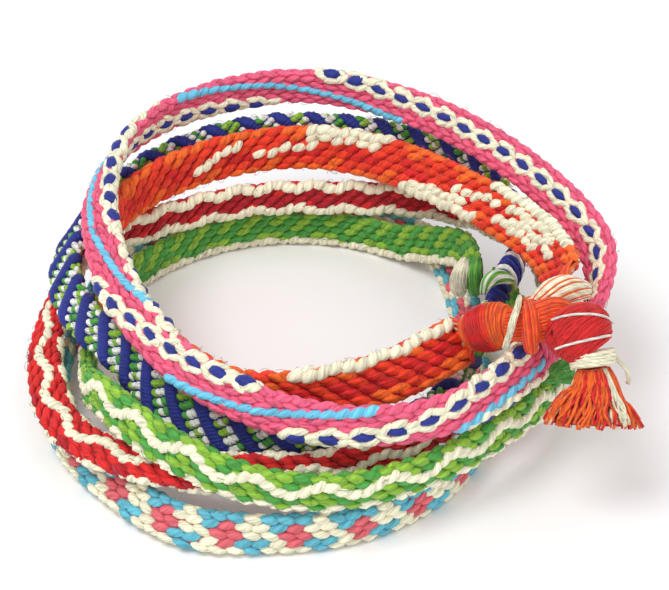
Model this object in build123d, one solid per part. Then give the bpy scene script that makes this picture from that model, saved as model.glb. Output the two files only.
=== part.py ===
from build123d import *
import os
from math import cos, hypot, pi, radians, sin, sqrt

os.makedirs("parts", exist_ok=True)

# All sizes are in mm and degrees. The stack lies on z = 0.
bandThickness = 2.0
bandCorner = 0.45
bandWidth = {"rose": 5.4, "green": 5.4, "red": 5.0, "blue": 5.2, "orange": 6.8, "pink": 5.4}
restCut = 0.15
cutSize = 200
cutDepth = 10
stepsPerSpan = 3
splineDegree = 2
smallStep = 0.02
lumpSides = 16
strandSides = 8

# The routes are drawn round the middle of the rose band, and the row's origin is under the
# middle of the whole stack.
originX = -0.43
originY = -3.6

# Each route is the middle line of one braided band: x, y, z and how far its top edge leans
# outward, anticlockwise from above, from the right through the back, the left and the front.
bandRoute = {
    "rose": [
        (21.5, -12.5, 2.81, 8), (19.9, -5, 2.87, 25), (19.5, 3, 2.62, 45), (19.1, 9.7, 2.45, 52),
        (17.7, 17.4, 2.65, 42), (13.1, 24.2, 2.87, 15), (4.8, 27.6, 2.7, 0), (-3.6, 29.2, 2.7, 0),
        (-12.5, 28.2, 2.7, 0), (-21.2, 23.4, 2.7, 0), (-28, 15.6, 2.7, 0), (-32, 6.2, 2.7, 0),
        (-33.3, -4, 2.81, -8), (-33.8, -14.4, 2.83, -28), (-30.9, -23.1, 2.6, -44),
        (-24.2, -30.9, 2.5, -50), (-16.1, -38, 2.66, -42), (-6, -39, 2.83, -10), (3.8, -37.8, 2.7, 0),
        (12.2, -32.9, 2.7, 0), (18, -26.2, 2.7, 0), (21.5, -18.5, 2.78, 5),
    ],
    "green": [
        (20.3, 4.6, 9.6, 2), (19.9, 8.8, 9.2, 12), (18.6, 12.7, 8.1, 15), (15, 16.8, 5.65, 12),
        (10.4, 21, 3.2, 4), (5, 24, 3.05, 2), (-2, 25.4, 3, 0), (-10.5, 24.8, 3, 0),
        (-18.6, 21.1, 3, 0), (-25.1, 15, 3.05, 0), (-28.9, 7.6, 3.5, 0), (-30.2, -0.8, 4.4, 0),
        (-30, -9, 5.1, 0), (-29.3, -14.7, 6.15, 0), (-28.6, -19.4, 8.9, -5), (-26.4, -23.8, 11.55, -15),
        (-22.5, -29.1, 11.7, -26), (-16.8, -34.4, 11.5, -20), (-9.6, -37.7, 9.8, -8),
        (0, -38.7, 8.7, 0), (9, -36.2, 8.6, 0), (16.8, -31.3, 8.6, -3), (23.2, -25, 8.4, -5),
        (28.4, -18, 6.95, -3), (30.7, -10, 4.65, 0), (29, -2.5, 3.7, 0), (25.7, 3, 4.6, 0),
        (23.1, 6.6, 7, 0),
    ],
    "red": [
        (29.6, -2.5, 9.8, 0), (30, 5.5, 9.5, 0), (28.2, 13, 8.9, 0), (22.3, 19.4, 8.8, 2),
        (15, 22.5, 8.9, 6), (8.4, 23.9, 8.7, 8), (1.5, 24, 8.65, 10), (-6.5, 24.2, 8.7, 6),
        (-15.5, 22, 8.6, 4), (-23.3, 17.6, 8.7, 0), (-29.7, 13, 8.75, -18), (-33.6, 6.6, 8.4, -45),
        (-35.2, -1, 7.3, -55), (-35.6, -8.8, 6.6, -62), (-34.3, -16.8, 6.45, -70),
        (-31.1, -24.6, 6.3, -78), (-24.8, -29.8, 6.7, -80), (-18.5, -32.4, 7.3, -78),
        (-13, -33.4, 7.3, -55), (-7, -33.6, 7.5, -20), (0, -33.4, 7.6, -5), (8, -30.6, 7.8, 0),
        (15.5, -25.4, 8.2, 0), (22.3, -18.3, 8.8, 0), (27.2, -9.9, 10.1, 0),
    ],
    "blue": [
        (25.8, 5, 12.7, 0), (26, 10.3, 14, 0), (24.2, 16, 15.3, 5), (19, 22.6, 15.8, 8),
        (10.8, 28, 16.1, 5), (1, 30.6, 16.1, 3), (-9, 30.6, 15.8, 10), (-18, 27.5, 15, 12),
        (-25.6, 22.2, 14, 5), (-31, 15.2, 13, -20), (-33.7, 7.2, 12.4, -42), (-33.6, -1.5, 12, -52),
        (-30.3, -9.9, 12.3, -55), (-24.3, -16.6, 12, -48), (-19.6, -23.8, 10.5, -38),
        (-12.2, -28.2, 9.2, -20), (-4, -30.4, 8.4, -5), (5.5, -28.9, 7.8, 0), (13.9, -22, 7.5, 0),
        (19, -12.8, 8.1, 0), (21.8, -4, 9.6, 0),
    ],
    "orange": [
        (29, -14.6, 22, 30), (28.9, -10.6, 21.3, 34), (27.6, -4, 20.2, 36), (24.6, 2.6, 18.9, 38),
        (19, 11.6, 17.4, 36), (12.2, 19.8, 16.3, 32), (5, 25.2, 15.5, 20), (-3, 27.6, 15.1, 10),
        (-11.5, 25.9, 15, 8), (-19.5, 21.4, 15, 5), (-26, 14.6, 15, 0), (-28.9, 7, 14.1, -8),
        (-28.2, -2.6, 12.6, -14), (-23.8, -11.2, 12.4, -12), (-17.3, -18.8, 12.3, -8),
        (-10.7, -25, 12.3, -5), (-3, -26.3, 13, -8), (4, -25.3, 13.7, -24), (10.4, -22.8, 14.2, -40),
        (16.6, -18, 15, -42),
    ],
    "pink": [
        (33, -14.5, 16.6, 20), (35, -8.5, 18, 42), (34.4, -2, 19.8, 48), (29.8, 6, 21.4, 44),
        (23.6, 14.5, 22.3, 42), (15.8, 23, 22.6, 30), (6, 30, 22.4, 12), (-5, 32.8, 22.2, 2),
        (-15.4, 30, 21.8, 0), (-23.3, 23.8, 21.4, -8), (-28, 15.5, 20.8, -30), (-29.4, 6, 20, -55),
        (-27.6, -4.5, 19, -64), (-23.5, -15.5, 17.8, -62), (-16, -25.6, 16.2, -46),
        (-6.2, -32, 15.2, -25), (3.5, -34.4, 15, -10), (12.5, -33.3, 15.1, -14), (20, -28.3, 15.3, -30),
        (26, -21.5, 15.6, -30),
    ],
}

# Each knot closes a band from its last point to its first: x, y, z, lean, half its width and
# half its thickness in between. The ends of a knot are a little smaller than the band.
knotWaist = 0.94
knotReach = 1.2
knotGap = 0.06
knotMiddle = {
    "rose": [(21.9, -15.5, 2.95, 0, 2.7, 1.9)],
    "red": [(29.2, -6.2, 10.2, 0, 2.9, 1.8)],
    "blue": [(23.4, -1.6, 11.6, 0, 2.9, 1.5), (25.2, 2.0, 12.3, 0, 2.8, 1.5)],
    "pink": [(29.6, -18.0, 15.9, -5, 2.5, 1.7)],
}

# The wraps of the knots: x, y, z, half the size across as seen from the front, half the depth.
# The front of the stack looks along facing.
facing = (0.0, -0.81, 0.59)
lobe = {
    "green_knot_cream_wrap": [
        (18.9, 3.9, 11.9, 0.4, 0.4), (18.4, 2.8, 11.0, 0.8, 0.8), (18.0, 2.3, 9.4, 0.95, 1.1),
        (18.2, 2.6, 7.7, 0.8, 0.9), (18.7, 3.4, 6.6, 0.4, 0.4),
    ],
    "green_knot": [
        (20.6, 4.0, 12.0, 0.5, 0.6), (20.3, 3.1, 11.2, 0.9, 1.3), (20.2, 2.5, 9.5, 1.1, 1.6),
        (20.3, 2.7, 7.8, 1.0, 1.2), (20.6, 3.6, 6.6, 0.5, 0.5),
    ],
    "green_tail": [
        (26.6, -21.0, 11.3, 0.6, 0.5), (28.0, -19.6, 11.2, 1.2, 0.7), (29.4, -18.2, 10.9, 1.9, 0.8),
        (30.4, -17.2, 10.7, 2.3, 0.6),
    ],
    "blue_knot_wrap": [
        (20.4, -6.5, 13.6, 0.4, 0.4), (20.6, -6.0, 14.6, 0.7, 0.6), (21.7, -5.0, 15.2, 1.0, 0.9),
        (23.0, -4.5, 15.0, 0.9, 0.8), (24.2, -4.4, 14.2, 0.5, 0.5),
    ],
    "orange_left_lobe": [
        (17.4, -19.4, 17.2, 2.0, 1.5), (18.5, -20.2, 18.2, 2.8, 2.3), (20.2, -21.2, 19.6, 3.0, 2.6),
        (21.5, -21.8, 20.2, 2.7, 2.2), (22.4, -22.4, 20.5, 1.9, 1.3),
    ],
    "orange_middle_lobe": [
        (24.2, -21.6, 23.0, 0.7, 0.8), (24.1, -23.7, 23.2, 1.0, 1.4), (24.1, -25.1, 22.3, 1.1, 1.6),
        (24.1, -25.8, 20.9, 1.0, 1.4), (24.2, -25.9, 19.6, 0.7, 0.9),
    ],
    "orange_fan": [
        (24.9, -20.2, 22.4, 0.7, 0.6), (26.0, -20.9, 23.7, 1.4, 1.0), (27.6, -20.6, 24.5, 1.7, 1.1),
        (29.6, -19.6, 24.0, 1.6, 1.0), (31.3, -18.4, 22.6, 1.0, 0.7),
    ],
    "orange_barrel": [
        (28.9, -22.2, 21.6, 3.0, 1.6), (29.1, -23.6, 22.0, 3.7, 2.4), (29.4, -25.3, 22.2, 4.0, 3.1),
        (30.2, -26.6, 21.6, 3.7, 3.1), (30.8, -27.1, 20.75, 3.0, 2.6),
    ],
    "orange_cross_strand": [
        (23.2, -20.0, 23.0, 0.3, 0.3), (22.6, -23.2, 23.8, 0.4, 0.4), (21.9, -25.2, 23.2, 0.4, 0.4),
        (21.5, -26.0, 21.6, 0.4, 0.4), (21.1, -26.0, 20.0, 0.3, 0.3),
    ],
}

# The cream binding is one thread wound round the neck of the tassel, and its end hangs loose.
bindingThread = 0.7
bindingTurns = 1.25
bindingPitch = 1.2
bindingSlack = 0.05
bindingTrace = 600
neckRadius = 1.9
neckTop = (31.0, -27.7, 19.9)
neckEnd = (31.35, -28.95, 18.15)
looseEnd = [
    (34.3, -27.9, 19.4), (34.9, -28.4, 18.9), (35.2, -28.7, 18.2), (35.3, -28.8, 17.6), (35.2, -28.9, 17.1),
]

# The tassel spreads from the neck to its cut ends: x, y, z, half its width, half its depth.
tasselFlutes = 12
fluteDepth = 0.07
tassel = [
    (31.45, -29.35, 17.5, 2.5, 2.0), (31.35, -29.75, 16.8, 2.8, 2.2), (31.1, -30.5, 15.8, 4.3, 2.7),
    (31.0, -31.9, 13.6, 5.6, 3.0),
]


def add(p, q, k=1.0):
    return tuple(a + k * b for a, b in zip(p, q))


def dot(p, q):
    return sum(a * b for a, b in zip(p, q))


def cross(p, q):
    return (p[1] * q[2] - p[2] * q[1], p[2] * q[0] - p[0] * q[2], p[0] * q[1] - p[1] * q[0])


def unit(p):
    size = sqrt(dot(p, p))
    return tuple(a / size for a in p)


def onRoute(points, u):
    # a point of the quadratic spline that starts and ends at the route's ends
    last = len(points) - splineDegree
    span = min(int(u), last - 1)
    knot = [min(max(span + i - 1, 0), last) for i in range(4)]
    first, middle, end = points[span:span + 3]
    a = (u - knot[0]) / (knot[2] - knot[0])
    b = (u - knot[1]) / (knot[3] - knot[1])
    c = (u - knot[1]) / (knot[2] - knot[1])
    left = add(first, add(middle, first, -1), a)
    right = add(middle, add(end, middle, -1), b)
    return add(left, add(right, left, -1), c)


def samples(points, perSpan):
    # each point of the route with its direction
    last = len(points) - splineDegree
    found = []
    for i in range(last * perSpan + 1):
        u = i / perSpan
        here = onRoute(points, u)
        before = onRoute(points, max(u - smallStep, 0))
        after = onRoute(points, min(u + smallStep, last))
        found.append((here, unit(add(after[:3], before[:3], -1))))
    return found


def bandAxes(tangent, lean):
    # across the band towards its top edge, and out of its outer face
    flat = hypot(tangent[0], tangent[1])
    out = (tangent[1] / flat, -tangent[0] / flat, 0)
    up = cross(out, tangent)
    if up[2] < 0:
        up = tuple(-a for a in up)
    tilt = radians(lean)
    across = add(tuple(cos(tilt) * a for a in up), out, sin(tilt))
    face = add(tuple(cos(tilt) * a for a in out), up, -sin(tilt))
    return across, face


def place(p):
    return Vector(p[0] - originX, p[1] - originY, p[2] - restCut)


def outline(centre, across, face, flat):
    return Wire.make_polygon([place(add(add(centre, across, v), face, w)) for v, w in flat], close=True)


def bandOutline(halfWidth, halfThickness):
    v, w, c = halfWidth, halfThickness, bandCorner
    return [(v - c, w), (v, w - c), (v, c - w), (v - c, -w), (c - v, -w), (-v, c - w), (-v, w - c), (c - v, w)]


def roundOutline(halfWidth, halfDepth, sides):
    turns = [2 * pi * (i + 0.5) / sides for i in range(sides)]
    return [(halfWidth * cos(t), halfDepth * sin(t)) for t in turns]


def loft(sections):
    return Solid.make_loft(sections, ruled=True)


def band(name):
    halfWidth = bandWidth[name] / 2
    sections = []
    for point, tangent in samples(bandRoute[name], stepsPerSpan):
        across, face = bandAxes(tangent, point[3])
        sections.append(outline(point[:3], across, face, bandOutline(halfWidth, bandThickness / 2)))
    return loft(sections)


def knot(name):
    # from the band's last point through the middle of the knot to the band's first point
    route = bandRoute[name]
    waist = (knotWaist * bandWidth[name] / 2, knotWaist * bandThickness / 2)
    leave = unit(add(route[-1][:3], route[-2][:3], -1))
    arrive = unit(add(route[1][:3], route[0][:3], -1))
    path = [
        (*add(route[-1][:3], leave, knotGap), route[-1][3], *waist),
        (*add(route[-1][:3], leave, knotReach), route[-1][3], *waist),
        *knotMiddle[name],
        (*add(route[0][:3], arrive, -knotReach), route[0][3], *waist),
        (*add(route[0][:3], arrive, -knotGap), route[0][3], *waist),
    ]
    sections = []
    for point, tangent in samples(path, stepsPerSpan):
        across, face = bandAxes(tangent, point[3])
        sections.append(outline(point[:3], across, face, bandOutline(point[4], point[5])))
    return loft(sections)


def viewAxes(tangent):
    # across the piece as the front shows it, and out towards the front
    deep = unit(add(facing, tangent, -dot(facing, tangent)))
    return cross(tangent, deep), deep


def strand(path, sides=lumpSides):
    sections = []
    for point, tangent in samples(path, stepsPerSpan):
        across, deep = viewAxes(tangent)
        sections.append(outline(point[:3], across, deep, roundOutline(point[3], point[4], sides)))
    return loft(sections)


def tasselSkirt():
    # a fluted skirt: the radius rises and falls once for each flute
    corners = 4 * tasselFlutes
    sections = []
    for point, tangent in samples(tassel, stepsPerSpan):
        across, deep = viewAxes(tangent)
        ring = []
        for i in range(corners):
            turn = 2 * pi * i / corners
            swell = 1 + fluteDepth * cos(tasselFlutes * turn)
            ring.append((point[3] * swell * cos(turn), point[4] * swell * sin(turn)))
        sections.append(outline(point[:3], across, deep, ring))
    return loft(sections)


def binding():
    # one thread on quarter turns round the neck, each of two arcs that meet smoothly
    axis = unit(add(neckEnd, neckTop, -1))
    side, deep = viewAxes(axis)
    radius = neckRadius + bindingThread / 2 + bindingSlack
    quarters = round(4 * bindingTurns)
    points, heading = [], []
    for i in range(quarters + 1):
        turn = pi / 2 * i
        along = 0.5 * bindingThread + bindingPitch * i / 4
        centre = add(neckTop, axis, along)
        out = add(tuple(radius * cos(turn) * a for a in side), deep, radius * sin(turn))
        round_ = add(tuple(-radius * sin(turn) * a for a in side), deep, radius * cos(turn))
        points.append(add(centre, out))
        heading.append(unit(add(round_, axis, bindingPitch / (2 * pi))))
    edges = []
    for p0, p1, t0, t1 in zip(points, points[1:], heading, heading[1:]):
        chord = add(p1, p0, -1)
        a = 2 * (dot(t0, t1) - 1)
        b = -2 * dot(chord, add(t0, t1))
        c = dot(chord, chord)
        reach = (-b - sqrt(b * b - 4 * a * c)) / (2 * a)
        if reach < 0:
            reach = (-b + sqrt(b * b - 4 * a * c)) / (2 * a)
        q0 = add(p0, t0, reach)
        q1 = add(p1, t1, -reach)
        meet = add(q0, add(q1, q0, -1), 0.5)
        edges.append(Edge.make_tangent_arc(place(p0), Vector(*t0), place(meet)))
        edges.append(Edge.make_tangent_arc(place(meet), Vector(*unit(add(q1, q0, -1))), place(p1)))
    path = Wire(edges)
    plane = Plane(origin=place(points[0]), z_dir=Vector(*heading[0]))
    tube = sweep(plane * Circle(bindingThread / 2), path=path)
    trace = [path @ (i / bindingTrace) for i in range(bindingTrace + 1)]
    apart = min(
        (trace[i] - trace[j]).length
        for i in range(0, bindingTrace + 1, 4)
        for j in range(i + bindingTrace // 3, bindingTrace + 1)
    )
    print("binding's least gap to itself", round(apart - bindingThread, 2))
    return tube


pieces = {}
for name in bandRoute:
    pieces[name + "_band"] = band(name)
for name in knotMiddle:
    pieces[name + "_knot"] = knot(name)
for name, path in lobe.items():
    pieces[name] = strand(path)
pieces["binding"] = binding()
pieces["binding_neck"] = strand([
    (*neckTop, neckRadius, neckRadius),
    (*add(neckTop, add(neckEnd, neckTop, -1), 0.5), neckRadius, neckRadius),
    (*neckEnd, neckRadius, neckRadius),
])
thread = bindingThread / 2
pieces["binding_loose_end"] = strand([(*p, thread, thread) for p in looseEnd], strandSides)
pieces["tassel"] = tasselSkirt()

# the rose band rests on a flat cut
below = Pos(0, 0, -cutDepth / 2) * Box(cutSize, cutSize, cutDepth)
pieces["rose_band"] = pieces["rose_band"] - below

whole = None
for name, piece in pieces.items():
    box = piece.bounding_box()
    whole = box if whole is None else whole.add(box)
    print(name, "volume", round(piece.volume, 1), "solids", len(piece.solids()), "valid", piece.is_valid)
    piece.label = name
    export_step(piece, "parts/" + name + ".step")
print("whole", [round(v, 2) for v in (*whole.min, *whole.max)])
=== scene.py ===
import math

import bpy
import numpy as np
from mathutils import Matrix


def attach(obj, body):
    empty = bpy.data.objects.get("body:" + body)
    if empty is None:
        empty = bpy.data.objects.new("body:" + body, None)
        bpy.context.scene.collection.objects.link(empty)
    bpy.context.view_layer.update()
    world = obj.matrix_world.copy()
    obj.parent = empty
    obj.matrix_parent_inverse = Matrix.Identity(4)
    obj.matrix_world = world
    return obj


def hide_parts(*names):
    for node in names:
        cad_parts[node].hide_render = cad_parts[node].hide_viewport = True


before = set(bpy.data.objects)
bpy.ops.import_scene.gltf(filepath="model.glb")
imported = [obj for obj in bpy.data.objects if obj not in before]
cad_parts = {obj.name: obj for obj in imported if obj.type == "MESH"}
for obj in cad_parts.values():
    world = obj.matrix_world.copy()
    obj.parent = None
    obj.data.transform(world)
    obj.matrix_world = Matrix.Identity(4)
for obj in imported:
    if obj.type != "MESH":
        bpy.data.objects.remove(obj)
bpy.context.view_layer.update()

mm = 0.001
rowOrigin = np.array([-0.43, -3.6, 0.15])  # where the row's origin lies among the routes' points

look = {
    "seed": 7,
    "aim": (0.0, 0.0, 8.0),
    "elevation": 36,
    "distance": 230,
    "lens": 94.06,
    "sensor": 36,
    "shift": (0.0187, 0.0075),
    "worldStrength": 0.80,
    "floorColour": (0.96, 0.96, 0.965, 1),
}

yarnColour = {
    "cream": (0.86, 0.83, 0.62),
    "white": (0.84, 0.86, 0.80),
    "rose": (0.72, 0.13, 0.16),
    "turquoise": (0.12, 0.47, 0.60),
    "lime": (0.26, 0.50, 0.045),
    "emerald": (0.075, 0.35, 0.055),
    "red": (0.70, 0.016, 0.016),
    "crimson": (0.47, 0.008, 0.018),
    "navy": (0.018, 0.030, 0.25),
    "scarlet": (0.84, 0.045, 0.014),
    "orange": (0.90, 0.14, 0.016),
    "pink": (0.82, 0.12, 0.23),
    "skyBlue": (0.15, 0.55, 0.78),
}
letterYarn = {
    "c": "cream", "w": "white", "r": "rose", "t": "turquoise", "l": "lime", "g": "emerald",
    "d": "crimson", "e": "red", "n": "navy", "o": "orange", "p": "pink", "s": "skyBlue", "v": "scarlet",
}

# Each band: width, rows of stitches on one face, length of a stitch, its slant. outer and inner
# are the rows from the top edge down, and repeat along the band. A cord is a raised line of
# stitches: face, yarn, where it starts and ends along the band, the row at each, and how many
# rows it swings to either side, once in so many mm.
# core is the yarn of the filling between the stitches, mostly darker than they are: painted shade in the
# gaps
band = {
    "rose": {
        "width": 5.4, "rows": 5, "pitch": 1.95, "slant": 12, "core": "rose",
        "outer": ["ttct", "rcct", "rrcc", "rttc", "cctc"],
        "inner": ["ttct", "rcct", "rrcc", "rttc", "cctc"],
    },
    "green": {
        "width": 5.4, "rows": 5, "pitch": 2.0, "slant": -14, "core": "emerald", "fuzz": 500,
        "outer": ["lgll", "glgl", "lglg", "gllg", "lcgc"],
        "inner": ["lglg", "glgl", "glgg", "lggl", "cglc"],
        "cords": [
            ("outer", "cream", 0.0, 1.0, 1.4, 1.4, 0.7, 8.0),
            ("inner", "cream", 0.0, 1.0, 4.2, 4.2, 0.2, 4.6),
        ],
    },
    "red": {
        "width": 5.0, "rows": 5, "pitch": 2.1, "slant": -26, "core": "crimson", "fuzz": 600,
        "outer": ["eeee", "eeee", "eede", "eeee", "edee"],
        "inner": ["dddd", "dedd", "dddd", "ddde", "dddd"],
        "cords": [
            ("outer", "cream", 0.0, 1.0, 1.8, 1.8, 0.65, 8.5),
            ("inner", "cream", 0.0, 1.0, 0.1, 0.1, 0.4, 5.5),
            ("inner", "cream", 0.0, 1.0, 3.7, 3.7, 0.42, 6.5),
        ],
    },
    "blue": {
        "width": 5.2, "core": "navy",
        "coils": 2, "slope": 1.0, "ridgeWidth": 1.7, "ridgeHeight": 0.62, "littleStitch": 1.15,
        "between": ["white", "lime", "white", "emerald"], "fuzz": 600,
    },
    "orange": {
        "width": 6.8, "rows": 6, "pitch": 2.3, "slant": -22, "core": "crimson",
        "outer": ["ovov", "vvov", "veve", "evee", "ovvo", "ovoo"],
        "inner": ["oovo", "ovvv", "vevv", "evve", "vvov", "ovoo"],
        "fuzz": 1100,
        "cords": [
            ("inner", "cream", 0.02, 0.15, 0.2, 0.0, 0.1, 6.0),
            ("inner", "cream", 0.04, 0.12, 1.2, 1.4, 0.2, 6.0),
            ("inner", "cream", 0.03, 0.11, 2.4, 2.4, 0.3, 5.0),
            ("inner", "cream", 0.06, 0.13, 3.5, 3.3, 0.2, 5.0),
            ("inner", "cream", 0.13, 0.19, 1.6, 2.6, 0.2, 5.0),
            ("inner", "cream", 0.15, 0.25, 4.6, 5.0, 0.2, 5.0),
            ("inner", "cream", 0.17, 0.24, 3.6, 4.2, 0.2, 5.0),
            ("inner", "cream", 0.27, 0.35, 0.1, 0.1, 0.2, 5.0),
            ("inner", "cream", 0.28, 0.35, 1.1, 1.0, 0.2, 5.0),
            ("inner", "cream", 0.34, 0.40, 2.0, 2.8, 0.2, 5.0),
            ("inner", "cream", 0.41, 0.46, 1.0, 3.0, 0.2, 5.0),
            ("outer", "cream", 0.52, 0.66, 1.0, 1.4, 0.3, 6.0),
            ("inner", "cream", 0.87, 1.0, 0.2, 1.5, 0.2, 5.0),
            ("inner", "cream", 0.88, 1.0, 1.2, 0.3, 0.2, 6.0),
            ("outer", "cream", 0.86, 1.0, 0.0, 0.3, 0.2, 6.0),
        ],
    },
    "pink": {
        "width": 5.4, "rows": 6, "pitch": 2.15, "slant": 12, "core": "pink", "fuzz": 300,
        "outer": ["pppp", "pppp", "pppp", "pppp", "pppp", "pppp"],
        "inner": ["pppp", "pppp", "pppp", "pppp", "pppp", "pppp"],
        # the navy chain climbs across the band: how far along, and the row of its middle, counted
        # up from the bottom edge
        "chains": {
            "outer": [(0.0, 2.4), (0.40, 2.4), (0.50, 4.6), (0.60, 5.2), (0.66, 7.2), (0.70, 9.2),
                      (0.76, 11.2), (0.80, 12.6), (0.83, 14.2), (0.88, 15.8), (0.94, 18.2), (1.0, 19.2)],
            "inner": [(0.0, 3.0), (0.20, 2.8), (0.27, 3.6), (0.33, 5.4), (0.37, 6.8), (0.42, 8.0),
                      (0.47, 9.2), (0.55, 11.4), (1.0, 14.0)],
        },
        "chainPitch": 3.7, "chainSwing": 0.74, "chainGap": 7,
    },
}

# The middle line of each band, as in the part's source: x, y, z in mm and how far its top edge
# leans outward in degrees.
route = {
    "rose": [
        (21.5, -12.5, 2.81, 8), (19.9, -5, 2.87, 25), (19.5, 3, 2.62, 45), (19.1, 9.7, 2.45, 52),
        (17.7, 17.4, 2.65, 42), (13.1, 24.2, 2.87, 15), (4.8, 27.6, 2.7, 0), (-3.6, 29.2, 2.7, 0),
        (-12.5, 28.2, 2.7, 0), (-21.2, 23.4, 2.7, 0), (-28, 15.6, 2.7, 0), (-32, 6.2, 2.7, 0),
        (-33.3, -4, 2.81, -8), (-33.8, -14.4, 2.83, -28), (-30.9, -23.1, 2.6, -44),
        (-24.2, -30.9, 2.5, -50), (-16.1, -38, 2.66, -42), (-6, -39, 2.83, -10), (3.8, -37.8, 2.7, 0),
        (12.2, -32.9, 2.7, 0), (18, -26.2, 2.7, 0), (21.5, -18.5, 2.78, 5),
    ],
    "green": [
        (20.3, 4.6, 9.6, 2), (19.9, 8.8, 9.2, 12), (18.6, 12.7, 8.1, 15), (15, 16.8, 5.65, 12),
        (10.4, 21, 3.2, 4), (5, 24, 3.05, 2), (-2, 25.4, 3, 0), (-10.5, 24.8, 3, 0),
        (-18.6, 21.1, 3, 0), (-25.1, 15, 3.05, 0), (-28.9, 7.6, 3.5, 0), (-30.2, -0.8, 4.4, 0),
        (-30, -9, 5.1, 0), (-29.3, -14.7, 6.15, 0), (-28.6, -19.4, 8.9, -5), (-26.4, -23.8, 11.55, -15),
        (-22.5, -29.1, 11.7, -26), (-16.8, -34.4, 11.5, -20), (-9.6, -37.7, 9.8, -8),
        (0, -38.7, 8.7, 0), (9, -36.2, 8.6, 0), (16.8, -31.3, 8.6, -3), (23.2, -25, 8.4, -5),
        (28.4, -18, 6.95, -3), (30.7, -10, 4.65, 0), (29, -2.5, 3.7, 0), (25.7, 3, 4.6, 0),
        (23.1, 6.6, 7, 0),
    ],
    "red": [
        (29.6, -2.5, 9.8, 0), (30, 5.5, 9.5, 0), (28.2, 13, 8.9, 0), (22.3, 19.4, 8.8, 2),
        (15, 22.5, 8.9, 6), (8.4, 23.9, 8.7, 8), (1.5, 24, 8.65, 10), (-6.5, 24.2, 8.7, 6),
        (-15.5, 22, 8.6, 4), (-23.3, 17.6, 8.7, 0), (-29.7, 13, 8.75, -18), (-33.6, 6.6, 8.4, -45),
        (-35.2, -1, 7.3, -55), (-35.6, -8.8, 6.6, -62), (-34.3, -16.8, 6.45, -70),
        (-31.1, -24.6, 6.3, -78), (-24.8, -29.8, 6.7, -80), (-18.5, -32.4, 7.3, -78),
        (-13, -33.4, 7.3, -55), (-7, -33.6, 7.5, -20), (0, -33.4, 7.6, -5), (8, -30.6, 7.8, 0),
        (15.5, -25.4, 8.2, 0), (22.3, -18.3, 8.8, 0), (27.2, -9.9, 10.1, 0),
    ],
    "blue": [
        (25.8, 5, 12.7, 0), (26, 10.3, 14, 0), (24.2, 16, 15.3, 5), (19, 22.6, 15.8, 8),
        (10.8, 28, 16.1, 5), (1, 30.6, 16.1, 3), (-9, 30.6, 15.8, 10), (-18, 27.5, 15, 12),
        (-25.6, 22.2, 14, 5), (-31, 15.2, 13, -20), (-33.7, 7.2, 12.4, -42), (-33.6, -1.5, 12, -52),
        (-30.3, -9.9, 12.3, -55), (-24.3, -16.6, 12, -48), (-19.6, -23.8, 10.5, -38),
        (-12.2, -28.2, 9.2, -20), (-4, -30.4, 8.4, -5), (5.5, -28.9, 7.8, 0), (13.9, -22, 7.5, 0),
        (19, -12.8, 8.1, 0), (21.8, -4, 9.6, 0),
    ],
    "orange": [
        (29, -14.6, 22, 30), (28.9, -10.6, 21.3, 34), (27.6, -4, 20.2, 36), (24.6, 2.6, 18.9, 38),
        (19, 11.6, 17.4, 36), (12.2, 19.8, 16.3, 32), (5, 25.2, 15.5, 20), (-3, 27.6, 15.1, 10),
        (-11.5, 25.9, 15, 8), (-19.5, 21.4, 15, 5), (-26, 14.6, 15, 0), (-28.9, 7, 14.1, -8),
        (-28.2, -2.6, 12.6, -14), (-23.8, -11.2, 12.4, -12), (-17.3, -18.8, 12.3, -8),
        (-10.7, -25, 12.3, -5), (-3, -26.3, 13, -8), (4, -25.3, 13.7, -24), (10.4, -22.8, 14.2, -40),
        (16.6, -18, 15, -42),
    ],
    "pink": [
        (33, -14.5, 16.6, 20), (35, -8.5, 18, 42), (34.4, -2, 19.8, 48), (29.8, 6, 21.4, 44),
        (23.6, 14.5, 22.3, 42), (15.8, 23, 22.6, 30), (6, 30, 22.4, 12), (-5, 32.8, 22.2, 2),
        (-15.4, 30, 21.8, 0), (-23.3, 23.8, 21.4, -8), (-28, 15.5, 20.8, -30), (-29.4, 6, 20, -55),
        (-27.6, -4.5, 19, -64), (-23.5, -15.5, 17.8, -62), (-16, -25.6, 16.2, -46),
        (-6.2, -32, 15.2, -25), (3.5, -34.4, 15, -10), (12.5, -33.3, 15.1, -14), (20, -28.3, 15.3, -30),
        (26, -21.5, 15.6, -30),
    ],
}

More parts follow.
